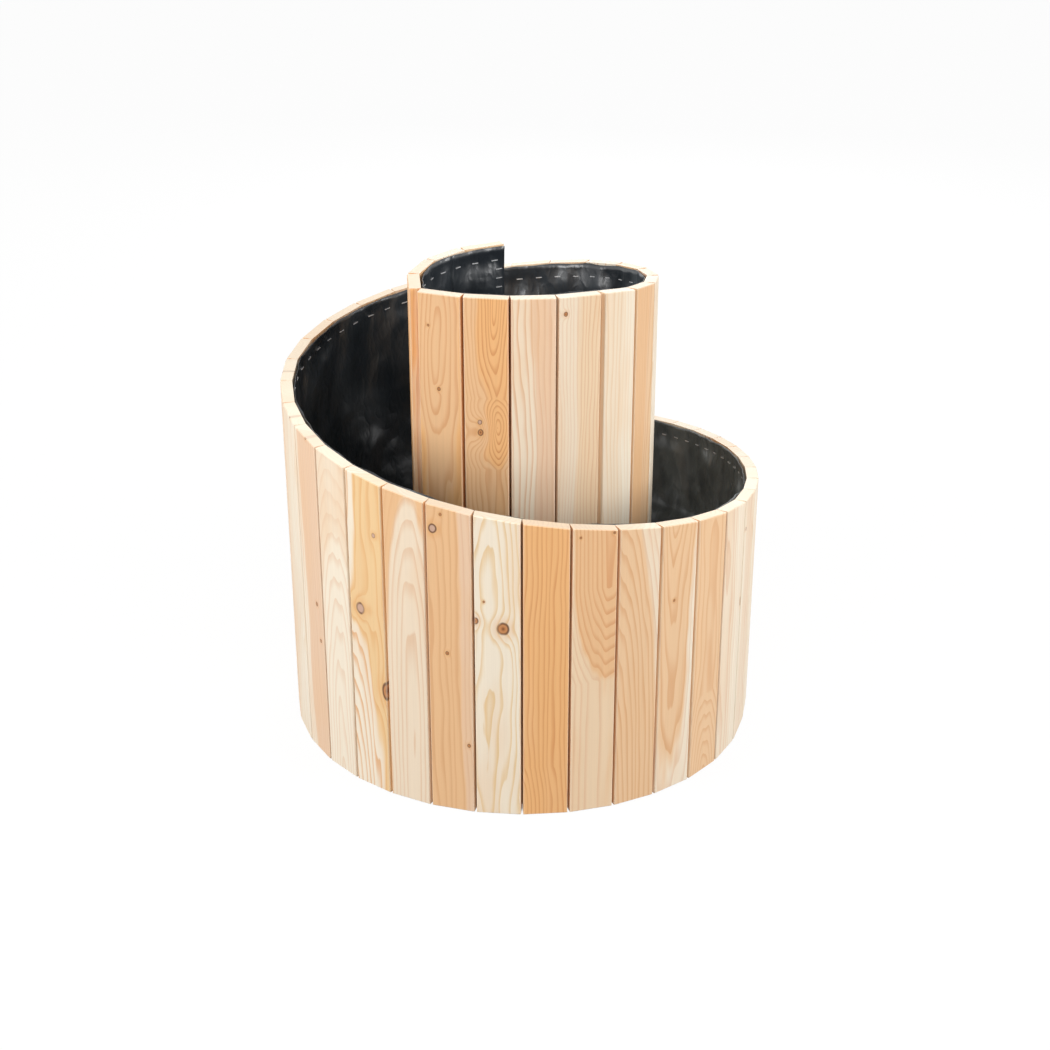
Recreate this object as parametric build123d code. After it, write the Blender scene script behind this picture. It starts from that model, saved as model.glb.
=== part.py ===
from build123d import *
import math
import os

# Herb spiral raised bed, in millimetres. One band of upright larch boards, stapled side by side
# to a black foil, stands on the ground in a spiral: a tall column in the middle, then a turn
# round it whose rim keeps falling. The soil goes in from above and meets the ground below.

# Boards
BOARD_WIDTH = 72.0
BOARD_THICKNESS = 20.0
BOARD_GAP = 0.6           # between neighbours, where they touch the foil
EDGE_ROUND = 2.2          # on the long outer edges
EDGE_EASE = 1.2           # bevel on the outer edges of both ends

# Rim: nearly level over the first boards, then one straight slant down to the low end
HIGH_HEIGHT = 800.0
LEVEL_BOARDS = 8
SHOULDER_DROP = 13.0      # all that the rim falls over those
LOW_HEIGHT = 300.0

# Bends: how far the band turns at each joint, from the high end outwards, as
# (number of joints, degrees at each)
FIRST_HEADING = 205.0     # direction of the first board, walked away from the high end
BENDS = (
    (3, 23.5),            # free end, curled into the column
    (1, 67.0),            # left corner of the column
    (3, 12.8),            # column front
    (1, 25.0),
    (6, 18.1),            # column right side
    (6, 12.8),            # back of the column, and out of it
    (3, 12.5),            # back left of the bed
    (12, 10.7),           # left side and front
    (3, 11.7),            # right corner
    (8, 6.9),             # right side
)
TAIL_BOARDS = 5           # boards after those, bent evenly until the low end meets the column
TAIL_GAP = 1.5            # between the low end and the column's boards
MOST_TAIL_TURN = 45.0     # a tighter bend would not reach the column

# Foil
FOIL_THICKNESS = 1.0
FOIL_DROP = 3.0           # its top edge under the rim
FOIL_LIFT = 6.0           # its bottom edge over the ground
FOIL_SLIT = 1.2           # cut back on each side of the fold that a free end turns on

# Staples
STAPLE_CROWN = 11.0
STAPLE_LEG = 9.0
STAPLE_WIRE_WIDTH = 1.4
STAPLE_WIRE_THICKNESS = 0.7
STAPLES_PER_BOARD = 2     # in the row under the rim
STAPLE_DROP = 26.0        # of that row under the rim
BASE_STAPLE_HEIGHT = 40.0
END_ROW_COUNT = 5         # upright row beside a free end
END_ROW_STEP = 16.0
END_ROW_EDGE = 10.0       # from the end of the board

PITCH = BOARD_WIDTH + BOARD_GAP
BOARDS = sum(count for count, turn in BENDS) + 1 + TAIL_BOARDS


# Plan of the band: the line that the inner faces of the boards follow
def headings(tail_turn):
    """Direction of each board in degrees, from the high end to the low end."""
    turns = [turn for count, turn in BENDS for joint in range(count)]
    turns += [tail_turn] * TAIL_BOARDS
    out = [FIRST_HEADING]
    for turn in turns:
        out.append(out[-1] + turn)
    return out


def along(heading):
    return Vector(math.cos(math.radians(heading)), math.sin(math.radians(heading)))


def outward(heading):
    return Vector(math.sin(math.radians(heading)), -math.cos(math.radians(heading)))


def joints(directions):
    """Points between the boards, at their inner faces, with both ends of the band."""
    points = [Vector(0, 0)]
    for heading in directions:
        points.append(points[-1] + along(heading) * PITCH)
    return points


def low_end_gap(tail_turn):
    """Space between the low end and the outer faces of the boards that it comes round to."""
    directions = headings(tail_turn)
    points = joints(directions)
    end = points[-1] - along(directions[-1]) * (BOARD_GAP / 2)
    corners = [end, end + outward(directions[-1]) * BOARD_THICKNESS]
    gaps = []
    for start, heading in list(zip(points, directions))[: BOARDS // 2]:
        for corner in corners:
            reach = (corner - start).dot(along(heading))
            if -PITCH / 2 < reach < PITCH * 1.5:
                gaps.append((corner - start).dot(outward(heading)) - BOARD_THICKNESS)
    return min((gap for gap in gaps if gap > -PITCH), default=PITCH)


def tail_turn_to_meet():
    """Smallest bend of the tail's joints at which the low end stands its gap off the column."""
    turn, step = 0.0, 1.0
    while step > 1e-6:
        while turn < MOST_TAIL_TURN and low_end_gap(turn + step) > TAIL_GAP:
            turn += step
        step /= 2
    return turn


TAIL_TURN = tail_turn_to_meet()
HEADINGS = headings(TAIL_TURN)


def rim_height(joint):
    """Height of the rim over a joint: joint 0 is the high end."""
    if joint <= LEVEL_BOARDS:
        return HIGH_HEIGHT - SHOULDER_DROP * joint / LEVEL_BOARDS
    shoulder = HIGH_HEIGHT - SHOULDER_DROP
    share = (joint - LEVEL_BOARDS) / (BOARDS - LEVEL_BOARDS)
    return shoulder + (LOW_HEIGHT - shoulder) * share


def centred(points):
    """The joints, moved so that the middle of the whole bed's outline is the origin."""
    corners = []
    for start, heading in zip(points, HEADINGS):
        for reach in (BOARD_GAP / 2, PITCH - BOARD_GAP / 2):
            inner = start + along(heading) * reach
            corners += [inner, inner + outward(heading) * BOARD_THICKNESS]
    xs, ys = [c.X for c in corners], [c.Y for c in corners]
    middle = Vector((min(xs) + max(xs)) / 2, (min(ys) + max(ys)) / 2)
    return [point - middle for point in points]


JOINTS = centred(joints(HEADINGS))


def inner_face(index):
    """Plane on the inner face of a board: X along the band, Z up its length, Y outwards."""
    return Plane(JOINTS[index], x_dir=along(HEADINGS[index]), z_dir=(0, 0, 1))


# One board: square to the ground below, cut on the slant above, outer edges rounded
def rim_at(index, reach):
    """Height of the rim over a board, at a distance along it."""
    low, high = rim_height(index), rim_height(index + 1)
    return low + (high - low) * reach / PITCH


def board(index):
    near, far = BOARD_GAP / 2, PITCH - BOARD_GAP / 2
    outline = Polyline(
        (near, 0), (far, 0), (far, rim_at(index, far)), (near, rim_at(index, near)), close=True
    )
    solid = extrude(Plane.XZ * make_face(outline), BOARD_THICKNESS)
    outer = solid.faces().sort_by(Axis.Y)[0]
    ends = [edge for edge in outer.edges() if abs(edge.tangent_at(0.5).Z) < 0.5]
    solid = chamfer(ends, EDGE_EASE)
    sides = [
        edge
        for edge in solid.edges()
        if edge.length > LOW_HEIGHT / 2 and abs(edge.center().Y + BOARD_THICKNESS) < EDGE_EASE / 2
    ]
    solid = fillet(sides, EDGE_ROUND)
    return inner_face(index) * solid


# Foil: a strip of flat spans along the inner faces of the boards, folded at each joint
def foil(first, last, slit_start, slit_end):
    """The foil behind the boards from first to last, cut back at the ends that are slit."""
    outer, inner, tops = [], [], []
    for joint in range(first, last + 2):
        before = HEADINGS[max(joint - 1, first)]
        after = HEADINGS[min(joint, last)]
        half = math.radians(after - before) / 2
        mitre = along((before + after) / 2 + 90) * (FOIL_THICKNESS / math.cos(half))
        cut = 0.0
        if joint == first:
            cut = slit_start
        elif joint == last + 1:
            cut = -slit_end
        point = JOINTS[joint] + along(after) * cut
        outer.append(point)
        inner.append(point + mitre)
        board_index = min(joint, last)
        reach = cut if joint <= last else PITCH + cut
        tops.append(rim_at(board_index, reach) - FOIL_DROP)
    faces = []
    for k in range(len(outer) - 1):
        a, b, c, d = outer[k], outer[k + 1], inner[k + 1], inner[k]
        ta, tb = tops[k], tops[k + 1]
        faces += [
            patch((a, FOIL_LIFT), (b, FOIL_LIFT), (b, tb), (a, ta)),
            patch((d, ta), (c, tb), (c, FOIL_LIFT), (d, FOIL_LIFT)),
            patch((a, ta), (b, tb), (c, tb)),
            patch((a, ta), (c, tb), (d, ta)),
            patch((d, FOIL_LIFT), (c, FOIL_LIFT), (b, FOIL_LIFT), (a, FOIL_LIFT)),
        ]
    a, d, ta = outer[0], inner[0], tops[0]
    faces.append(patch((a, FOIL_LIFT), (a, ta), (d, ta), (d, FOIL_LIFT)))
    b, c, tb = outer[-1], inner[-1], tops[-1]
    faces.append(patch((c, FOIL_LIFT), (c, tb), (b, tb), (b, FOIL_LIFT)))
    return Solid(Shell(faces))


def patch(*corners):
    """A flat face through points in plan, each with its height."""
    return Face(Wire.make_polygon([Vector(p.X, p.Y, z) for p, z in corners], close=True))


# Staples: crown on the foil, legs driven through it into the board
def staple():
    half, crown = STAPLE_CROWN / 2, STAPLE_WIRE_THICKNESS
    leg = half - STAPLE_WIRE_THICKNESS
    outline = Polyline(
        (-half, crown), (half, crown), (half, -STAPLE_LEG), (leg, -STAPLE_LEG), (leg, 0),
        (-leg, 0), (-leg, -STAPLE_LEG), (-half, -STAPLE_LEG), close=True,
    )
    return extrude(make_face(outline), STAPLE_WIRE_WIDTH / 2, both=True)


def staple_on(index, reach, height, tilt):
    """A staple on a board's foil, its crown turned by tilt from level."""
    place = Plane((reach, FOIL_THICKNESS, height), x_dir=(1, 0, 0), z_dir=(0, 0, 1))
    return inner_face(index) * place * Rot(0, -tilt, 0) * staple()


def staples(boards, end_row=None):
    """Staples of some boards, as separate solids; end_row is the side of an upright row."""
    out = []
    for index in boards:
        tilt = math.degrees(math.atan2(rim_at(index, PITCH) - rim_at(index, 0), PITCH))
        for k in range(STAPLES_PER_BOARD):
            reach = PITCH * (k + 0.5) / STAPLES_PER_BOARD
            out.append(staple_on(index, reach, rim_at(index, reach) - STAPLE_DROP, tilt))
        out.append(staple_on(index, PITCH / 2, BASE_STAPLE_HEIGHT, 0))
        if end_row:
            reach = END_ROW_EDGE if end_row == "start" else PITCH - END_ROW_EDGE
            for k in range(END_ROW_COUNT):
                height = rim_at(index, reach) - STAPLE_DROP - END_ROW_STEP * (k + 1)
                out.append(staple_on(index, reach, height, tilt))
    return Compound(children=out)


# All pieces, one file each
def main():
    os.makedirs("parts", exist_ok=True)
    last = BOARDS - 1
    pieces = {f"board_{index + 1:02d}": board(index) for index in range(BOARDS)}
    pieces["foil"] = foil(1, last - 1, FOIL_SLIT, FOIL_SLIT)
    pieces["foil_high_end"] = foil(0, 0, 0, FOIL_SLIT)
    pieces["foil_low_end"] = foil(last, last, FOIL_SLIT, 0)
    pieces["staples"] = staples(range(1, last))
    pieces["staples_high_end"] = staples([0], "start")
    pieces["staples_low_end"] = staples([last], "end")
    for name, piece in pieces.items():
        piece.label = name
        export_step(piece, f"parts/{name}.step")
    print("boards", BOARDS, "tail turn", round(TAIL_TURN, 2))
    high, low = JOINTS[1], JOINTS[last]
    print("high end fold", round(high.X, 2), round(high.Y, 2), "turn", HEADINGS[1] - HEADINGS[0])
    print("low end fold", round(low.X, 2), round(low.Y, 2), "turn", round(TAIL_TURN, 2))


main()
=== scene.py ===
"""Herb spiral raised bed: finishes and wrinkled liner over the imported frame.

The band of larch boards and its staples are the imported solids. This file gives each board its own
figure, lays the liner in behind the boards as wrinkled foil, and sets up a plain studio.
Lengths are in millimetres, apart from what Blender is handed, which is in metres.
"""

import logging
import math
import random
from dataclasses import dataclass, field
from enum import Enum

import bpy
from mathutils import Euler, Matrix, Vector, noise

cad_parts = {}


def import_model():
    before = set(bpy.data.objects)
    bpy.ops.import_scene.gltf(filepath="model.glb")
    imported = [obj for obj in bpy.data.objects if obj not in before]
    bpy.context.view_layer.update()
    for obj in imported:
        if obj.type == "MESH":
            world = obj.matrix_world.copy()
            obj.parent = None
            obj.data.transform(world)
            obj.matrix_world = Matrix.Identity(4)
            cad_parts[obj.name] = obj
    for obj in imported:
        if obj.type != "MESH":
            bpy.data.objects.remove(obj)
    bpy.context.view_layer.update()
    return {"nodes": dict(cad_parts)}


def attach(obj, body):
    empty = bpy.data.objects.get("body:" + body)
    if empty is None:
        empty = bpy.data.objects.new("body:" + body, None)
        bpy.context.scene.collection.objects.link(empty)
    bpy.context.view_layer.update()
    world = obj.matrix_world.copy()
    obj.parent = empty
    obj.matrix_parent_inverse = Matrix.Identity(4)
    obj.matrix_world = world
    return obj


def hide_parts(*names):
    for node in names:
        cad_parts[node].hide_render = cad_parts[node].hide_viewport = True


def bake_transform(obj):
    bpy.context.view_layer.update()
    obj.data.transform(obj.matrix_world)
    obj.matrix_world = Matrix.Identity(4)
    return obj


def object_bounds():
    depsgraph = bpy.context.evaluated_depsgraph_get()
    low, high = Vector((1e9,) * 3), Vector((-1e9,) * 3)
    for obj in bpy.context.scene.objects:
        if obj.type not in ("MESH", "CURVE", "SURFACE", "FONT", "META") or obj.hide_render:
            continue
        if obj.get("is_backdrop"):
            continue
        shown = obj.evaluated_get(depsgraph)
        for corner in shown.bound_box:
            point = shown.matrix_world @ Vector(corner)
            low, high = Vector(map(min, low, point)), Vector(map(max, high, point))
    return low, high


LOG = logging.getLogger("herb_spiral")
MM = 0.001


# ---------------------------------------------------------------- colours
class Tone(Enum):
    """Colours of larch, liner and studio, as the eye reads them, from 0 to 255."""

    # Painted highlight: near-white of the boards' upward-facing cut rim, as lit from above.
    RIM = (254, 243, 222)
    IVORY = (250, 236, 214)
    CREAM = (246, 226, 200)
    SAND = (244, 215, 180)
    ROSE = (240, 205, 173)
    PEACH = (241, 202, 160)
    APRICOT = (240, 194, 146)
    ORANGE = (243, 187, 127)
    HONEY = (244, 208, 156)
    WHEAT = (234, 197, 150)
    GOLD = (232, 188, 116)
    TAN = (221, 163, 113)
    AMBER = (226, 158, 88)
    COPPER = (208, 129, 72)
    RUST = (168, 100, 56)
    KNOT = (205, 143, 92)
    KNOT_GREY = (207, 170, 148)
    KNOT_RIM = (98, 62, 42)
    FOIL_DARK = (33, 38, 43)
    # Paler foil, in random patches and, as a painted highlight, along the creases.
    FOIL_WORN = (66, 73, 79)
    # Pale grey of the painted light on the right-hand foil and its creases.
    FOIL_DUST = (108, 117, 119)
    STEEL = (214, 214, 216)
    WHITE = (255, 255, 255)

    def linear(self) -> tuple[float, float, float, float]:
        """This colour in the values that a shader takes."""
        return tuple([_linear(part / 255) for part in self.value] + [1.0])


def _linear(part: float) -> float:
    """One part of a screen colour as light."""
    return part / 12.92 if part <= 0.04045 else ((part + 0.055) / 1.055) ** 2.4


# ---------------------------------------------------------------- shader maths
class Value:
    """A number that a shader works out, for use in Python expressions."""

    def __init__(self, graph: "Graph", socket: bpy.types.NodeSocket) -> None:
        """Wraps a socket of one graph."""
        self.graph = graph
        self.socket = socket

    def _math(self, operation: str, first: object, second: object = 0.0) -> "Value":
        """Adds one Math node.

        Args:
            operation: The node's operation.
            first: A value or a plain number.
            second: A value or a plain number.

        Returns:
            The node's result.
        """
        node = self.graph.node(
            "ShaderNodeMath", {"operation": operation}, {0: first, 1: second}
        )
        return Value(self.graph, node.outputs[0])

    def __add__(self, other: object) -> "Value":
        """Self plus other."""
        return self._math("ADD", self, other)

    __radd__ = __add__

    def __sub__(self, other: object) -> "Value":
        """Self minus other."""
        return self._math("SUBTRACT", self, other)

    def __rsub__(self, other: object) -> "Value":
        """Other minus self."""
        return self._math("SUBTRACT", other, self)

    def __mul__(self, other: object) -> "Value":
        """Self times other."""
        return self._math("MULTIPLY", self, other)

    __rmul__ = __mul__

    def __truediv__(self, other: object) -> "Value":
        """Self over other."""
        return self._math("DIVIDE", self, other)

    def __pow__(self, other: object) -> "Value":
        """Self to a power."""
        return self._math("POWER", self, other)

    def __rpow__(self, other: object) -> "Value":
        """A number to the power of self."""
        return self._math("POWER", other, self)

    def __abs__(self) -> "Value":
        """Self without its sign."""
        return self._math("ABSOLUTE", self)

    def part(self) -> "Value":
        """What is left of self over a whole number."""
        return self._math("FRACT", self)

    def larger(self, other: object) -> "Value":
        """The larger of self and other."""
        return self._math("MAXIMUM", self, other)

    def smaller(self, other: object) -> "Value":
        """The smaller of self and other."""
        return self._math("MINIMUM", self, other)

    def step(self, low: float, high: float) -> "Value":
        """A smooth rise from 0 at low to 1 at high."""
        node = self.graph.node(
            "ShaderNodeMapRange",
            {"interpolation_type": "SMOOTHSTEP"},
            {0: self, 1: low, 2: high, 3: 0.0, 4: 1.0},
        )
        return Value(self.graph, node.outputs[0])


class Graph:
    """The nodes of one material or world."""

    def __init__(self, owner: bpy.types.ID) -> None:
        """Clears the owner's nodes.

        Args:
            owner: A material or a world.
        """
        owner.use_nodes = True
        self.tree = owner.node_tree
        self.tree.nodes.clear()

    def node(self, kind: str, settings: dict, sockets: dict) -> bpy.types.Node:
        """Adds one node.

        Args:
            kind: The node's type.
            settings: Its own settings, which are set first.
            sockets: Values or links of its inputs, by index or name.

        Returns:
            The new node.
        """
        node = self.tree.nodes.new(kind)
        for name, setting in settings.items():
            setattr(node, name, setting)
        for key, source in sockets.items():
            if isinstance(source, Value):
                source = source.socket
            if isinstance(source, bpy.types.NodeSocket):
                self.tree.links.new(source, node.inputs[key])
            else:
                node.inputs[key].default_value = source
        return node

    def point(self, turn: float = 0.0, shift: tuple = (0, 0, 0)) -> bpy.types.NodeSocket:
        """Object coordinates in millimetres.

        Args:
            turn: A turn about Z, in radians, before the shift.
            shift: A move, in metres.

        Returns:
            The vector's socket.
        """
        place = self.node("ShaderNodeTexCoord", {}, {})
        mapping = self.node(
            "ShaderNodeMapping",
            {"vector_type": "POINT"},
            {0: place.outputs["Object"], 1: shift, 2: (0.0, 0.0, turn)},
        )
        return self.scaled(mapping.outputs[0], (1 / MM, 1 / MM, 1 / MM))

    def scaled(
        self, vector: bpy.types.NodeSocket, scale: tuple, move: tuple = (0, 0, 0)
    ) -> bpy.types.NodeSocket:
        """A vector times a scale for each axis, plus a move."""
        node = self.node(
            "ShaderNodeVectorMath", {"operation": "MULTIPLY_ADD"}, {0: vector, 1: scale, 2: move}
        )
        return node.outputs[0]

    def parts(self, vector: bpy.types.NodeSocket) -> tuple[Value, Value, Value]:
        """The three parts of a vector."""
        node = self.node("ShaderNodeSeparateXYZ", {}, {0: vector})
        return tuple(Value(self, out) for out in node.outputs)

    def cloud(
        self,
        place: bpy.types.NodeSocket,
        size: tuple,
        move: tuple = (0, 0, 0),
        detail: float = 2.0,
        rough: float = 0.5,
    ) -> tuple[Value, Value, Value, Value]:
        """Smooth noise over a place.

        Args:
            place: Where it is read, in millimetres.
            size: How large its features are along each axis.
            move: A shift that gives another stretch of noise, in features.
            detail: Its finer layers.
            rough: How much they count.

        Returns:
            The noise and three further ones, each about 0.5.
        """
        vector = self.scaled(place, tuple(1 / length for length in size), move)
        node = self.node(
            "ShaderNodeTexNoise",
            {},
            {"Vector": vector, "Scale": 1.0, "Detail": detail, "Roughness": rough},
        )
        colour = self.node("ShaderNodeSeparateColor", {}, {0: node.outputs["Color"]})
        return (Value(self, node.outputs[0]), *(Value(self, out) for out in colour.outputs))

    def mix(self, share: object, first: object, second: object) -> bpy.types.NodeSocket:
        """A colour between two.

        Args:
            share: How much of the second, from 0 to 1.
            first: A tone or a colour's socket.
            second: A tone or a colour's socket.

        Returns:
            The mixed colour's socket.
        """
        colours = [c.linear() if isinstance(c, Tone) else c for c in (first, second)]
        node = self.node(
            "ShaderNodeMix", {"data_type": "RGBA"}, {0: share, 6: colours[0], 7: colours[1]}
        )
        return node.outputs[2]

    def shaded(self, colour: bpy.types.NodeSocket, light: Value) -> bpy.types.NodeSocket:
        """A colour times a number."""
        node = self.node(
            "ShaderNodeVectorMath", {"operation": "SCALE"}, {0: colour, "Scale": light}
        )
        return node.outputs[0]

    def bump(self, height: Value, strength: float, depth: float) -> bpy.types.NodeSocket:
        """A normal from a height.

        Args:
            height: The height, from 0 to 1.
            strength: The share of it that shows.
            depth: Its full depth, in metres.

        Returns:
            The normal's socket.
        """
        node = self.node(
            "ShaderNodeBump", {}, {"Height": height, "Strength": strength, "Distance": depth}
        )
        return node.outputs[0]

    def surface(self, **sockets: object) -> bpy.types.Node:
        """A Principled shader on the material's output, with its sockets by name."""
        shader = self.node(
            "ShaderNodeBsdfPrincipled", {}, {k.replace("_", " "): v for k, v in sockets.items()}
        )
        self.node("ShaderNodeOutputMaterial", {}, {"Surface": shader.outputs[0]})
        return shader


# ---------------------------------------------------------------- the band's plan
@dataclass
class Band:
    """Plan and rim of the band of boards, from the high end in the column to the low end.

    Each of `bends` is a number of joints and the degrees that the band turns at every one.
    """

    width: float = 72.0
    thickness: float = 20.0
    gap: float = 0.6
    heading: float = 205.0
    bends: tuple = (
        (3, 23.5), (1, 67.0), (3, 12.8), (1, 25.0), (6, 18.1), (6, 12.8),
        (3, 12.5), (12, 10.7), (3, 11.7), (8, 6.9), (5, 22.921),
    )
    high: float = 800.0
    level_boards: int = 8
    shoulder_drop: float = 13.0
    low: float = 300.0
    corner_round: float = 9.0
    headings: list = field(init=False)
    joints: list = field(init=False)

    def __post_init__(self) -> None:
        """Works out where each board stands."""
        self.headings = [self.heading]
        for count, turn in self.bends:
            for _ in range(count):
                self.headings.append(self.headings[-1] + turn)
        points = [Vector((0, 0, 0))]
        for board in range(self.boards):
            points.append(points[-1] + self.along(board) * self.pitch)
        corners = []
        for board in range(self.boards):
            for reach in (self.gap / 2, self.pitch - self.gap / 2):
                corner = points[board] + self.along(board) * reach
                corners += [corner, corner - self.inward(board) * self.thickness]
        middle = Vector((
            (min(c.x for c in corners) + max(c.x for c in corners)) / 2,
            (min(c.y for c in corners) + max(c.y for c in corners)) / 2,
            0,
        ))
        self.joints = [point - middle for point in points]

    @property
    def pitch(self) -> float:
        """From one joint to the next."""
        return self.width + self.gap

    @property
    def boards(self) -> int:
        """How many boards the band has."""
        return len(self.headings)

    def along(self, board: int) -> Vector:
        """Direction of a board, towards the low end."""
        turn = math.radians(self.headings[board])
        return Vector((math.cos(turn), math.sin(turn), 0))

    def inward(self, board: int) -> Vector:
        """Direction from a board towards its liner."""
        turn = math.radians(self.headings[board])
        return Vector((-math.sin(turn), math.cos(turn), 0))

    def rim(self, reach: float) -> float:
        """Height of the rim at a distance along the band."""
        joint = reach / self.pitch
        if joint <= self.level_boards:
            return self.high - self.shoulder_drop * joint / self.level_boards
        shoulder = self.high - self.shoulder_drop
        share = (joint - self.level_boards) / (self.boards - self.level_boards)
        return shoulder + (self.low - shoulder) * share

    def spot(self, reach: float, stand_off: float) -> Vector:
        """A point of the ground plan in front of the boards' inner faces.

        Args:
            reach: Distance along the band.
            stand_off: Distance from the boards, towards the liner's side.

        Returns:
            The point, with its corner rounded where two boards meet.
        """
        board = min(max(int(reach / self.pitch), 0), self.boards - 1)
        over = reach - board * self.pitch
        base = self.joints[board] + self.along(board) * over
        normal = self.inward(board)
        for joint, other, near in (
            (board, board - 1, over),
            (board + 1, board + 1, self.pitch - over),
        ):
            if 0 < joint < self.boards and near < self.corner_round:
                share = 0.5 * (1 - near / self.corner_round)
                normal = self.inward(board) * (1 - share) + self.inward(other) * share
                normal.normalize()
        return base + normal * stand_off


# ---------------------------------------------------------------- larch
@dataclass(frozen=True)
class Knot:
    """A knot on a board's outer face, round which the growth rings bend."""

    across: float
    height: float
    radius: float = 4.0
    pull: float = 1.6
    spread: float = 1.8
    tall: float = 1.15
    loose: bool = False


@dataclass(frozen=True)
class Figure:
    """How one board was cut from its log, and its colours.

    The growth rings are tubes round the log's middle, which lies at `depth` behind the outer face
    and `pith` to one side, at the height `level`. Above it the middle drifts off by `rise` for
    each millimetre and `bow` for each 100 mm squared, and below it by `fall`, but never by more
    than `most`. That draws the board's arches. The rings are `ring` apart, and `change` out from
    the middle the wood turns from `inner` to `outer`.
    """

    inner: Tone = Tone.PEACH
    outer: Tone = Tone.CREAM
    line: Tone = Tone.TAN
    change: float = 900.0
    ring: float = 6.0
    pith: float = 0.0
    depth: float = 34.0
    level: float = 300.0
    rise: float = 0.02
    fall: float = 0.02
    bow: float = 0.0
    most: float = 90.0
    wave: float = 0.4
    lines: float = 0.5
    seed: float = 0.0
    knots: tuple = ()


@dataclass(frozen=True)
class Larch:
    """Planed larch, untreated."""

    roughness: float = 0.52
    sheen: float = 0.35
    grain_depth: float = 0.0004
    grain_strength: float = 0.35
    eased: float = 33.6
    sway: float = 60.0
    ripple: float = 6.0
    change_ripple: float = 8.0
    change_blur: float = 3.0
    crowding: float = 1.6
    bow_unit: float = 1e-4

    def material(self, name: str, band: Band, board: int, figure: Figure) -> bpy.types.Material:
        """Makes one board's finish.

        Args:
            name: The material's name.
            band: The plan that says where the board stands.
            board: The board's place in the band.
            figure: Its figure.

        Returns:
            The material.
        """
        made = bpy.data.materials.new(name)
        graph = Graph(made)
        place = self._place(graph, band, board)
        across, out, height = graph.parts(place)
        inside = out + band.thickness
        slow = graph.cloud(place, (60, 60, 260), (figure.seed, 3.0, figure.seed))
        quick = graph.cloud(place, (16, 16, 120), (4.0, figure.seed, 1.0))

        radius = self._radius(figure, (across, inside, height), slow, quick)
        cores = self._cores(figure, across, height, quick)
        for _, _, bend in cores:
            radius = radius + bend
        colour, late, strength = self._clear(graph, place, figure, radius, slow, quick)
        fibre = graph.cloud(place, (1.6, 1.6, 110), detail=3.0, rough=0.6)
        streak = graph.cloud(place, (7, 7, 420), (2.0, 8.0, 1.0), 1.0)
        colour = graph.shaded(colour, 0.905 + fibre[0] * 0.09 + streak[0] * 0.09)
        for knot, far, _ in cores:
            colour = self._knot(graph, colour, knot, far, quick)
        # Painted highlights on the upward-facing rim and along the eased outer edges.
        colour = self._edges(graph, colour, across, inside)

        relief = late * 0.5 + fibre[0] * 0.5
        graph.surface(
            Base_Color=colour,
            Roughness=self.roughness + strength * 0.12 - fibre[1] * 0.08,
            Normal=graph.bump(relief, self.grain_strength, self.grain_depth),
            Specular_IOR_Level=self.sheen,
        )
        return made

    def _place(self, graph: Graph, band: Band, board: int) -> bpy.types.NodeSocket:
        """A place on a board, from the middle of its foot, with X across it and Y inwards."""
        turn = -math.radians(band.headings[board])
        foot = (band.joints[board] + band.along(board) * band.pitch / 2) * MM
        shift = -foot
        shift.rotate(Euler((0, 0, turn)))
        return graph.point(turn, tuple(shift))

    def _radius(self, figure: Figure, place: tuple, slow: tuple, quick: tuple) -> Value:
        """Distance from the log's middle.

        Args:
            figure: The board's figure.
            place: How far across, how far behind the outer face, and how high.
            slow: Noise of long features.
            quick: Noise of short features.

        Returns:
            The distance that the growth rings follow.
        """
        across, inside, height = place
        over = height - figure.level
        above = over.larger(0.0)
        drift = above * figure.rise + (over - above) * figure.fall
        drift = drift + above * above * (figure.bow * self.bow_unit)
        drift = drift.smaller(figure.most).larger(-figure.most)
        sway = self.sway * figure.wave
        side = across - figure.pith + (slow[1] - 0.5) * sway
        deep = drift + figure.depth - inside + (slow[2] - 0.5) * sway
        return (side**2.0 + deep**2.0) ** 0.5 + (quick[1] - 0.5) * (self.ripple * figure.wave)

    def _cores(
        self, figure: Figure, across: Value, height: Value, quick: tuple
    ) -> list[tuple[Knot, Value, Value]]:
        """Each knot, with the distance from its middle in radii and its pull on the rings."""
        cores = []
        for knot in figure.knots:
            far = (
                ((across - knot.across) / knot.radius) ** 2.0
                + ((height - knot.height) / (knot.radius * knot.tall)) ** 2.0
            )
            bend = math.e ** (far * (-0.5 / knot.spread**2)) * (knot.radius * knot.pull)
            cores.append((knot, far**0.5 + (quick[2] - 0.5) * 0.5, bend))
        return cores

    def _clear(
        self,
        graph: Graph,
        place: bpy.types.NodeSocket,
        figure: Figure,
        radius: Value,
        slow: tuple,
        quick: tuple,
    ) -> tuple[bpy.types.NodeSocket, Value, Value]:
        """Wood between the knots.

        Args:
            graph: The board's nodes.
            place: A place on the board.
            figure: Its figure.
            radius: Distance from the log's middle.
            slow: Noise of long features.
            quick: Noise of short features.

        Returns:
            Its colour, where the late wood of each ring is, and how strongly that shows.
        """
        crowd = graph.cloud(place, (22, 22, 900), (9.0, 2.0, 5.0), 1.0)
        rings = (radius / figure.ring + (crowd[0] - 0.5) * self.crowding).part()
        late = rings.step(0.45, 0.93) * (1.0 - rings.step(0.93, 1.0))
        strength = late * (figure.lines * 0.5 + quick[3] * (figure.lines * 0.9))
        edge = radius + (quick[1] - 0.5) * self.change_ripple
        young = edge.step(figure.change - self.change_blur, figure.change + self.change_blur)
        strength = strength * (1.0 - young * 0.4)
        base = graph.mix(young, figure.inner, figure.outer)
        base = graph.mix((slow[3] - 0.45).step(0.0, 0.25) * 0.28, base, Tone.APRICOT)
        return graph.mix(strength, base, figure.line), late, strength

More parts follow.
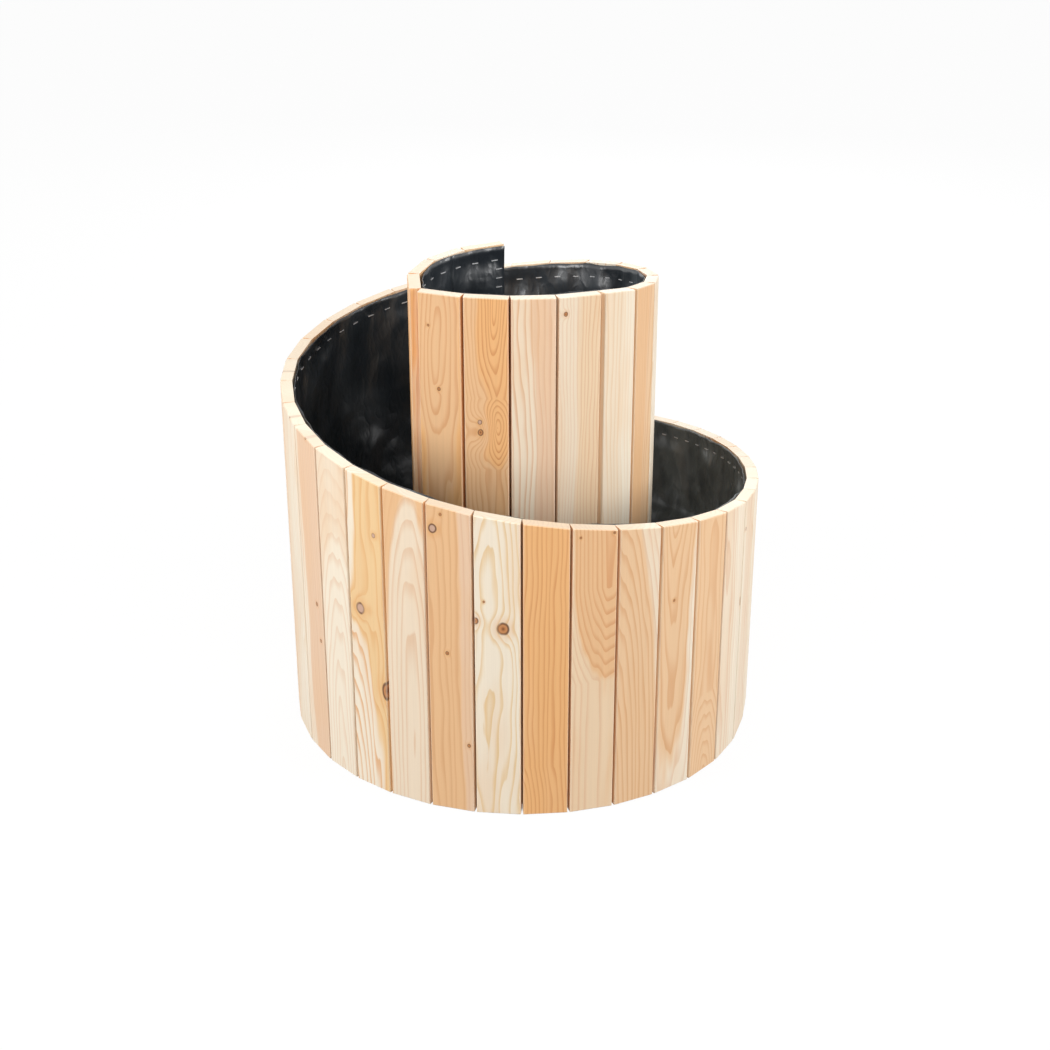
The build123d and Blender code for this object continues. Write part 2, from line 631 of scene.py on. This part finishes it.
    def _knot(
        self, graph: Graph, colour: bpy.types.NodeSocket, knot: Knot, far: Value, quick: tuple
    ) -> bpy.types.NodeSocket:
        """A colour with a knot in it.

        Args:
            graph: The board's nodes.
            colour: The colour so far.
            knot: The knot.
            far: Distance from its middle, in radii.
            quick: Noise of short features, which breaks up its dark rim.

        Returns:
            The colour with its halo, wood, rim and, in a sound knot, heart.
        """
        halo = 1.0 - far.step(0.9, 3.2)
        colour = graph.mix(halo * 0.3, colour, Tone.AMBER)
        wood = Tone.KNOT_GREY if knot.loose else Tone.KNOT
        colour = graph.mix(1.0 - far.step(0.85, 1.05), colour, wood)
        rim = far.step(0.6, 0.9) * (1.0 - far.step(1.0, 1.25))
        dark = 0.4 + (quick[3] - 0.3).step(0.0, 0.3) * 0.5
        colour = graph.mix(rim * dark, colour, Tone.KNOT_RIM)
        if not knot.loose:
            colour = graph.mix((1.0 - far.step(0.1, 0.7)) * 0.75, colour, Tone.RUST)
            colour = graph.mix((1.0 - far.step(0.0, 0.4)) * 0.7, colour, Tone.KNOT_RIM)
        return colour

    def _edges(
        self, graph: Graph, colour: bpy.types.NodeSocket, across: Value, inside: Value
    ) -> bpy.types.NodeSocket:
        """A colour made paler on the cut rim and along the eased outer edges, as painted highlights
        where the upward faces and the rounded edges catch the light.
        """
        geometry = graph.node("ShaderNodeNewGeometry", {}, {})
        up = graph.parts(geometry.outputs["Normal"])[2]
        # Painted highlight: faces that point up, the cut rim, are mixed towards near-white, as the
        # light from above falls on them.
        colour = graph.mix(up.step(0.5, 0.95) * 0.65, colour, Tone.RIM)
        # Painted highlight along the eased outer edges, where the rounded edge catches the light.
        lighter_share = abs(across).step(self.eased, self.eased + 2.0) * (1.0 - inside.step(1.5, 4.0))
        return graph.mix(lighter_share * 0.35, colour, Tone.IVORY)


@dataclass
class Boards:
    """The boards of the band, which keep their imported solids."""

    band: Band
    finish: Larch = Larch()
    seed: int = 11

    def shown(self) -> dict[int, Figure]:
        """Figures of the boards that face the front, by their number in the band."""
        ivory, cream, sand, rose = Tone.IVORY, Tone.CREAM, Tone.SAND, Tone.ROSE
        peach, apricot, orange, honey = Tone.PEACH, Tone.APRICOT, Tone.ORANGE, Tone.HONEY
        wheat, tan, amber, copper = Tone.WHEAT, Tone.TAN, Tone.AMBER, Tone.COPPER
        gold = Tone.GOLD
        return {
            4: Figure(sand, orange, copper, change=32, ring=5, pith=60, depth=25, lines=0.6,
                      wave=0.3, seed=1.0),
            5: Figure(apricot, orange, copper, change=34, ring=8, pith=-2, depth=22, level=555,
                      rise=-0.15, fall=-0.05, wave=0.45, lines=0.42, seed=2.3,
                      knots=(Knot(-2, 633, 2.6, 2.4), Knot(-18, 740, 1.8, 2.0))),
            6: Figure(orange, apricot, copper, change=30, ring=4.6, pith=13, depth=24, level=622,
                      rise=-0.13, fall=0.45, most=56, wave=0.5, lines=0.66, seed=3.1,
                      knots=(Knot(-10, 563, 4.0, pull=6.0, spread=3.8, tall=1.3),
                             Knot(-11, 581, 3.2, pull=0.5, loose=True))),
            7: Figure(cream, rose, tan, change=66, ring=8.5, pith=-58, depth=26, level=560,
                      rise=0.03, fall=0.03, wave=0.5, lines=0.62, seed=4.4),
            8: Figure(sand, cream, tan, change=58, ring=5.5, pith=50, depth=24, level=520,
                      wave=0.3, lines=0.45, seed=5.2, knots=(Knot(-25, 761, 3.0, 2.4),)),
            9: Figure(cream, ivory, wheat, change=62, ring=6, pith=-44, depth=30, wave=0.3,
                      lines=0.55, seed=6.9),
            10: Figure(peach, apricot, tan, change=46, ring=5.5, pith=40, depth=30, wave=0.3,
                       lines=0.55, seed=7.7),
            11: Figure(ivory, cream, wheat, change=60, seed=8.2),
            24: Figure(ivory, cream, wheat, change=60, pith=20, lines=0.35, seed=31.0,
                       knots=(Knot(6, 612, 3.0),)),
            25: Figure(cream, rose, wheat, change=60, pith=-40, lines=0.35, seed=9.1),
            26: Figure(ivory, cream, wheat, change=55, pith=30, lines=0.35, seed=10.3,
                       knots=(Knot(10, 594, 3.2),)),
            27: Figure(ivory, rose, tan, change=52, pith=-60, lines=0.35, seed=11.8,
                       knots=(Knot(5, 583, 3.4), Knot(16, 289, 3.0), Knot(25, 224, 2.6))),
            28: Figure(ivory, cream, tan, change=54, ring=7, pith=4, depth=8, level=40,
                       rise=0.05, fall=0.1, bow=1.6, wave=0.25, lines=0.3, seed=12.6),
            29: Figure(ivory, honey, amber, change=85, ring=10, pith=-60, depth=77, level=330,
                       rise=0.0, fall=0.18, wave=0.5, lines=0.7, seed=13.4,
                       knots=(Knot(-14, 329, 8.2, pull=1.8, loose=True),
                              Knot(20, 467, 3.4, pull=1.2, loose=True),
                              Knot(37, 193, 9.0, pull=1.4, tall=1.7))),
            30: Figure(cream, apricot, tan, change=43, ring=7.5, pith=8, depth=5, level=150,
                       rise=0.0, fall=0.0, bow=2.5, wave=0.2, lines=0.38, seed=14.9),
            31: Figure(apricot, rose, tan, change=66, ring=8, pith=-40, depth=30, wave=0.35,
                       lines=0.5, seed=15.5,
                       knots=(Knot(-25, 503, 6.4, pull=0.9, loose=True),
                              Knot(-12, 528, 2.2, pull=0.8), Knot(-5, 289, 2.6),
                              Knot(29, 125, 3.0))),
            32: Figure(ivory, cream, gold, change=60, ring=7.5, pith=-14, depth=20, level=360,
                       rise=0.06, fall=-0.02, wave=0.6, lines=0.6, seed=16.2,
                       knots=(Knot(9, 341, 8.6, pull=1.6), Knot(-35, 353, 5.0, pull=2.0),
                              Knot(-21, 387, 1.6))),
            33: Figure(orange, orange, copper, ring=7.5, pith=-62, depth=24, level=90,
                       rise=-0.03, fall=0.3, wave=0.4, lines=0.5, seed=17.1),
            34: Figure(apricot, sand, copper, change=60, ring=6.5, pith=25, depth=12, level=404,
                       rise=-0.02, fall=-0.3, most=50, wave=0.14, lines=0.42, seed=18.6,
                       knots=(Knot(30, 496, 1.8), Knot(-24, 494, 1.8, pull=1.0))),
            35: Figure(peach, cream, tan, change=101, ring=8, pith=-60, depth=45, level=300,
                       rise=0.2, fall=0.15, wave=0.25, lines=0.6, seed=19.9),
            36: Figure(peach, ivory, tan, change=42, ring=6.5, pith=-8, depth=16, level=425,
                       rise=-0.1, fall=-0.06, bow=-12.0, wave=0.3, lines=0.6, seed=20.4,
                       knots=(Knot(-9, 352, 2.0, pull=1.0),)),
            37: Figure(peach, sand, tan, change=60, ring=6, pith=2, depth=36, level=150,
                       rise=0.02, fall=0.24, wave=0.3, lines=0.5, seed=21.3),
            38: Figure(cream, ivory, tan, change=50, pith=-30, lines=0.4, seed=22.8,
                       knots=(Knot(34, 274, 2.0, tall=4.0),)),
            39: Figure(cream, ivory, tan, change=60, pith=20, lines=0.35, seed=23.6,
                       knots=(Knot(-30, 402, 2.6),)),
            40: Figure(ivory, cream, wheat, change=60, pith=-20, lines=0.35, seed=24.5),
            41: Figure(ivory, cream, wheat, change=60, pith=20, lines=0.35, seed=25.7),
        }

    def figure(self, number: int, chance: random.Random) -> Figure:
        """The figure of a board. Every board draws one, so each draw stays with its board.

        Args:
            number: The board's number, from 1 at the high end.
            chance: Where a board that doesn't face the front gets its figure from.

        Returns:
            Its figure.
        """
        tones = [Tone.CREAM, Tone.PEACH, Tone.SAND, Tone.ROSE, Tone.APRICOT, Tone.IVORY]
        lines = [Tone.TAN, Tone.COPPER, Tone.WHEAT]
        knots = tuple(
            Knot(chance.uniform(-30, 30), chance.uniform(60, 640), chance.uniform(2.2, 6.5),
                 chance.uniform(1.2, 2.2), loose=chance.random() < 0.4)
            for _ in range(chance.choice((0, 0, 1, 1, 2)))
        )
        free = Figure(
            chance.choice(tones), chance.choice(tones), chance.choice(lines),
            change=chance.uniform(38, 75), ring=chance.uniform(5, 8),
            pith=chance.uniform(-55, 55), depth=chance.uniform(18, 36),
            level=chance.uniform(120, 520), rise=chance.uniform(-0.08, 0.1),
            fall=chance.uniform(-0.08, 0.08), bow=chance.uniform(-3, 3),
            wave=chance.uniform(0.25, 0.6), lines=chance.uniform(0.35, 0.65),
            seed=40 + number * 1.7, knots=knots,
        )
        return self.shown().get(number, free)

    def dress(self, nodes: dict[str, bpy.types.Object]) -> int:
        """Gives every packed board its own figure.

        Args:
            nodes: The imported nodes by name.

        Returns:
            How many boards were dressed.
        """
        chance = random.Random(self.seed)
        for index in range(self.band.boards):
            name = f"board_{index + 1:02d}"
            made = self.finish.material(
                f"larch_{name}", self.band, index, self.figure(index + 1, chance)
            )
            nodes[name].data.materials.clear()
            nodes[name].data.materials.append(made)
        return self.band.boards


# ---------------------------------------------------------------- liner
@dataclass(frozen=True)
class Foil:
    """Dark plastic foil, half gloss and creased, with painted light on its right-hand side and
    along its creases.
    """

    roughness: float = 0.22
    shine: float = 0.95
    crease_depth: float = 0.012
    crease_strength: float = 0.8
    # Where the painted light on the right-hand foil fades in, in millimetres along X.
    painted_sheen_from: float = 150.0
    painted_sheen_to: float = 330.0

    def material(self, name: str) -> bpy.types.Material:
        """Makes the foil's finish, under a name."""
        made = bpy.data.materials.new(name)
        graph = Graph(made)
        place = graph.point()
        broad = graph.cloud(place, (74, 74, 88), detail=0.6)
        folds = graph.cloud(place, (34, 34, 72), (5.0, 2.0, 8.0), 1.5)
        nicks = graph.cloud(place, (17, 17, 30), (1.0, 7.0, 3.0), 1.0)
        fold = (1.0 - abs(folds[0] - 0.5) * 6.0).larger(0.0)
        nick = (1.0 - abs(nicks[1] - 0.5) * 8.0).larger(0.0)
        # Paler foil in random patches; the fold term adds a painted highlight along the creases.
        lighter_share = (broad[1] - 0.42).step(0.0, 0.3) * 0.45 + fold * 0.06
        colour = graph.mix(lighter_share, Tone.FOIL_DARK, Tone.FOIL_WORN)
        # Painted light: foil on the right-hand side, which faces the left lamps, is mixed towards
        # pale grey, most along the creases and in broad patches.
        right = graph.parts(place)[0].step(self.painted_sheen_from, self.painted_sheen_to)
        painted_sheen = right * (0.2 + fold * 0.3 + broad[1] * 0.5)
        colour = graph.mix(painted_sheen, colour, Tone.FOIL_DUST)
        height = broad[0] * 3.0 + fold * 0.07 + nick * 0.025
        graph.surface(
            Base_Color=colour,
            Roughness=self.roughness + broad[2] * 0.24,
            Normal=graph.bump(height, self.crease_strength, self.crease_depth),
            Specular_IOR_Level=self.shine,
        )
        return made


@dataclass
class Liner:
    """The foil that is stapled to the inner faces of the boards.

    `edge_waves` gives each wave of its cut edge a length, a depth and a row of noise. `end_row`
    gives the upright row of staples beside a free end its inset, step and count.
    """

    band: Band
    finish: Foil = Foil()
    lift: float = 6.0
    edge_drop: float = 1.4
    step_along: float = 6.5
    step_up: float = 10.0
    thickness: float = 0.4
    stand_off: float = 0.35
    staple_drop: float = 26.0
    staple_base: float = 40.0
    end_row: tuple = (10.0, 16.0, 5)
    seam: float = 34.0
    end_margin: float = 0.3
    fold_reach: float = 10.0
    edge_waves: tuple = ((58.0, 4.2, 3.1), (21.0, 2.4, 8.7))
    flat_by_staple: float = 5.0
    free_from_staple: float = 31.0
    fold_height: float = 1.2
    cross_height: float = 1.6
    bulge_height: float = 5.0
    corner_width: float = 14.0
    corner_share: float = 0.45

    def edge(self, reach: float) -> float:
        """Height of the foil's upper edge, which was cut by hand, at a distance along the band."""
        cut = 0.0
        for length, depth, row in self.edge_waves:
            first = math.floor(reach / length)
            near = noise.noise(Vector((first * 1.37, row, 0)))
            far = noise.noise(Vector(((first + 1) * 1.37, row, 0)))
            cut += (near + (far - near) * (reach / length - first)) * depth
        return self.band.rim(reach) - self.edge_drop + cut

    def held(self, reach: float, height: float) -> float:
        """How free the foil is, from 0 at a staple to 1 well away from one."""
        pitch = self.band.pitch
        below = self.band.rim(reach) - self.staple_drop - height
        near = abs((reach / pitch * 2) % 1.0 - 0.5) * pitch / 2
        middle = abs((reach / pitch) % 1.0 - 0.5) * pitch
        gaps = [math.hypot(near, below), math.hypot(middle, height - self.staple_base)]
        inset, step, count = self.end_row
        for end in (inset, pitch * self.band.boards - inset):
            rung = min(max(round(below / step), 1), count) * step
            gaps.append(math.hypot(reach - end, below - rung))
        span = self.free_from_staple - self.flat_by_staple
        return min(1.0, max(0.0, (min(gaps) - self.flat_by_staple) / span))

    def wrinkle(self, reach: float, height: float) -> float:
        """How far the foil stands off the boards.

        Args:
            reach: Distance along the band.
            height: Height over the ground.

        Returns:
            The distance.
        """
        lean = noise.noise(Vector((reach / 160, height / 240, 5.0))) * 60
        fold = 1 - abs(noise.noise(Vector(((reach + lean) / 60, height / 180, 1.0)))) * 2.6
        cross = 1 - abs(noise.noise(Vector((reach / 80 + height / 70, height / 70, 4.0)))) * 3.0
        bulge = 0.5 + noise.noise(Vector((reach / 85, height / 110, 2.0)))
        free = self.held(reach, height)
        out = max(0.0, fold) * self.fold_height + max(0.0, cross) * self.cross_height
        out += max(0.0, bulge) * self.bulge_height
        corner = 0.0
        joint = round(reach / self.band.pitch)
        if 0 < joint < self.band.boards:
            near = abs(reach - joint * self.band.pitch)
            turn = self.band.headings[joint] - self.band.headings[joint - 1]
            slope = math.tan(math.radians(turn) / 2)
            corner = max(0.0, self.corner_width - near) * slope * self.corner_share
        return self.stand_off + out * free + corner

    def sheet(self, name: str, start: float, end: float) -> bpy.types.Object:
        """Lays one length of foil.

        Args:
            name: The piece's name.
            start: Where it starts along the band.
            end: Where it ends.

        Returns:
            The piece: a flat grid stood up along the boards, wrinkled and given its thickness.
        """
        tallest = self.band.rim(start) - self.lift
        columns = max(2, round((end - start) / self.step_along))
        rows = max(2, round(tallest / self.step_up))
        bpy.ops.object.select_all(action="DESELECT")
        bpy.ops.mesh.primitive_grid_add(
            x_subdivisions=columns, y_subdivisions=rows, size=1.0, location=(0, 0, 0)
        )
        piece = bpy.context.object
        piece.name = name
        piece.data.name = name
        for vertex in piece.data.vertices:
            reach = start + (vertex.co.x + 0.5) * (end - start)
            height = self.lift + (vertex.co.y + 0.5) * (self.edge(reach) - self.lift)
            spot = self.band.spot(reach, self.wrinkle(reach, height))
            vertex.co = Vector((spot.x, spot.y, height)) * MM
        bpy.ops.object.mode_set(mode="EDIT")
        bpy.ops.mesh.select_all(action="SELECT")
        bpy.ops.mesh.normals_make_consistent(inside=False)
        bpy.ops.object.mode_set(mode="OBJECT")
        solid = piece.modifiers.new("thickness", "SOLIDIFY")
        solid.thickness = self.thickness * MM
        solid.offset = 0.0
        bpy.ops.object.modifier_apply(modifier=solid.name)
        bpy.ops.object.shade_smooth()
        piece.data.materials.append(self.finish.material(f"foil_{name}"))
        length = (end - start) * MM
        area = 0.5 * (self.band.rim(start) + self.band.rim(end)) - self.lift - self.edge_drop
        tallest * MM
        area * MM * length
        return piece

    def lay(self) -> list[bpy.types.Object]:
        """Lays the foil in three lengths along the band.

        Returns:
            The three pieces.
        """
        band = self.band
        total = band.pitch * band.boards
        first, last = band.pitch + self.seam, total - band.pitch - self.seam
        main = self.sheet("liner", first, last)
        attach(main, "bed")
        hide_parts("foil")
        high = self.sheet("liner_high_end", self.end_margin, first)
        low = self.sheet("liner_low_end", last, total - self.end_margin)
        self._fold(high, 1, -1)
        self._fold(low, band.boards - 1, 1)
        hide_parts("foil_high_end")
        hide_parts("foil_low_end")
        return [main, high, low]

    def _fold(self, piece: bpy.types.Object, joint: int, side: int) -> None:
        """Bakes a length of foil's placement into its mesh; the points either side of a joint are
        worked out but not used.

        Args:
            piece: The length of foil.
            joint: The joint it turns at.
            side: Which way the end lies along the band.
        """
        band, reach = self.band, self.fold_reach
        board = joint if side > 0 else joint - 1
        other = joint - 1 if side > 0 else joint
        end_side = (band.joints[joint] + band.along(board) * reach * side) * MM
        bed_side = (band.joints[joint] - band.along(other) * reach * side) * MM
        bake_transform(piece)


# ---------------------------------------------------------------- staples
@dataclass(frozen=True)
class StapleWire:
    """Bright flattened wire."""

    roughness: float = 0.26
    metal: float = 0.55
    rub_depth: float = 0.0002

    def material(self, name: str) -> bpy.types.Material:
        """Makes the wire's finish, under a name."""
        made = bpy.data.materials.new(name)
        graph = Graph(made)
        rub = graph.cloud(graph.point(), (2, 2, 2))
        graph.surface(
            Base_Color=graph.mix(rub[0] * 0.3, Tone.WHITE, Tone.STEEL),
            Metallic=self.metal,
            Roughness=self.roughness + rub[1] * 0.12,
            Normal=graph.bump(rub[2], 0.2, self.rub_depth),
        )
        return made


@dataclass
class Staples:
    """The staples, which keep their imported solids."""

    finish: StapleWire = StapleWire()
    names: tuple = ("staples", "staples_high_end", "staples_low_end")

    def dress(self, nodes: dict[str, bpy.types.Object]) -> int:
        """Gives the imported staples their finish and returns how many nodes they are."""
        made = self.finish.material("staple_wire")
        for name in self.names:
            nodes[name].data.materials.clear()
            nodes[name].data.materials.append(made)
        return len(self.names)


# ---------------------------------------------------------------- studio
@dataclass
class Studio:
    """A pale floor, soft light and the camera.

    Each of `soft_boxes` has its place and width in metres and its power in watts.
    """

    eye: tuple = (0.0111, -2.9869, 1.7004)
    turn: float = -0.171
    dip: float = 25.019
    lens: float = 63.42
    sensor: float = 36.0
    floor: float = 60.0
    floor_drop: float = 0.0006
    daylight: float = 0.59
    bounce: float = 0.1
    glow: float = 0.93
    aim: tuple = (0, 0, 0.35)
    soft_boxes: tuple = (
        ((-3.3, -1.9, 1.9), 2.0, 92.0),
        ((3.4, -1.5, 1.8), 2.0, 82.0),
        ((0.2, -3.7, 1.5), 2.0, 27.0),
        ((0.4, 3.5, 2.0), 2.0, 42.0),
    )

    def build(self) -> None:
        """Sets up floor, world, lamps and camera."""
        self._floor()
        self._world()
        for place, width, power in self.soft_boxes:
            self._soft_box(place, width, power)
        self._camera()

    def _seen(self, graph: Graph) -> Value:
        """Where a ray comes from the eye, a reflection or through glass, in a graph."""
        path = graph.node("ShaderNodeLightPath", {}, {})
        eye = Value(graph, path.outputs["Is Camera Ray"])
        glossy = Value(graph, path.outputs["Is Glossy Ray"])
        clear = Value(graph, path.outputs["Is Transmission Ray"])
        return eye.larger(glossy).larger(clear)

    def _floor(self) -> None:
        """A pale floor that keeps a faint shadow."""
        bpy.ops.object.select_all(action="DESELECT")
        bpy.ops.mesh.primitive_plane_add(size=self.floor, location=(0, 0, -self.floor_drop))
        floor = bpy.context.object
        floor.name = "floor"
        made = bpy.data.materials.new("floor")
        graph = Graph(made)
        seen = self._seen(graph)
        paper = [(level, level, level, 1.0) for level in (self.bounce, 1.0)]
        colour = graph.mix(seen, *paper)
        matt = graph.node("ShaderNodeBsdfDiffuse", {}, {0: colour})
        lit = graph.node("ShaderNodeEmission", {}, {0: Tone.WHITE.linear(), 1: 1.0})
        share = seen * self.glow
        both = graph.node(
            "ShaderNodeMixShader", {}, {0: share, 1: matt.outputs[0], 2: lit.outputs[0]}
        )
        graph.node("ShaderNodeOutputMaterial", {}, {"Surface": both.outputs[0]})
        floor.data.materials.append(made)
        floor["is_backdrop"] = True

    def _world(self) -> None:
        """White all round, at the level of daylight on the object."""
        world = bpy.data.worlds.new("studio")
        bpy.context.scene.world = world
        graph = Graph(world)
        paper = Tone.WHITE.linear()
        light = graph.node("ShaderNodeBackground", {}, {0: paper, 1: self.daylight})
        white = graph.node("ShaderNodeBackground", {}, {0: paper, 1: 1.0})
        both = graph.node(
            "ShaderNodeMixShader",
            {},
            {0: self._seen(graph), 1: light.outputs[0], 2: white.outputs[0]},
        )
        graph.node("ShaderNodeOutputWorld", {}, {"Surface": both.outputs[0]})

    def _soft_box(self, place: tuple, width: float, power: float) -> None:
        """Adds one large lamp.

        Args:
            place: Where it hangs, in metres.
            width: Its side, in metres.
            power: Its power, in watts.
        """
        data = bpy.data.lights.new("soft_box", "AREA")
        data.shape = "SQUARE"
        data.size = width
        data.energy = power
        lamp = bpy.data.objects.new("soft_box", data)
        bpy.context.collection.objects.link(lamp)
        lamp.location = place
        aim = Vector(self.aim) - Vector(place)
        lamp.rotation_euler = aim.to_track_quat("-Z", "Y").to_euler()

    def _camera(self) -> None:
        """The camera at the photograph's viewing angle."""
        data = bpy.data.cameras.new("camera")
        data.lens = self.lens
        data.sensor_width = self.sensor
        camera = bpy.data.objects.new("camera", data)
        bpy.context.collection.objects.link(camera)
        camera.location = self.eye
        turn, dip = math.radians(self.turn), math.radians(self.dip)
        look = Vector(
            (math.sin(turn) * math.cos(dip), math.cos(turn) * math.cos(dip), -math.sin(dip))
        )
        camera.rotation_euler = look.to_track_quat("-Z", "Y").to_euler()
        bpy.context.scene.camera = camera


# ---------------------------------------------------------------- making
def corners() -> list[list[float]]:
    """The shown object's lowest and highest corners as plain lists."""
    return [list(corner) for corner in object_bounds()]


def main() -> None:
    """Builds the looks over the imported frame, piece by piece."""
    logging.basicConfig(level=logging.INFO, format="%(name)s: %(message)s")
    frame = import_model()
    scene = bpy.context.scene
    scene.view_settings.view_transform = "Standard"
    bpy.ops.object.select_all(action="DESELECT")
    studio = Studio()
    studio.build()
    LOG.info("studio: %d lamps", len(studio.soft_boxes))
    band = Band()
    LOG.info("boards dressed: %d", Boards(band).dress(frame["nodes"]))
    for piece in Liner(band).lay():
        LOG.info("%s: %d faces", piece.name, len(piece.data.polygons))
    LOG.info("staple nodes dressed: %d", Staples().dress(frame["nodes"]))
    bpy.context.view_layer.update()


if __name__ == "__main__":
    main()
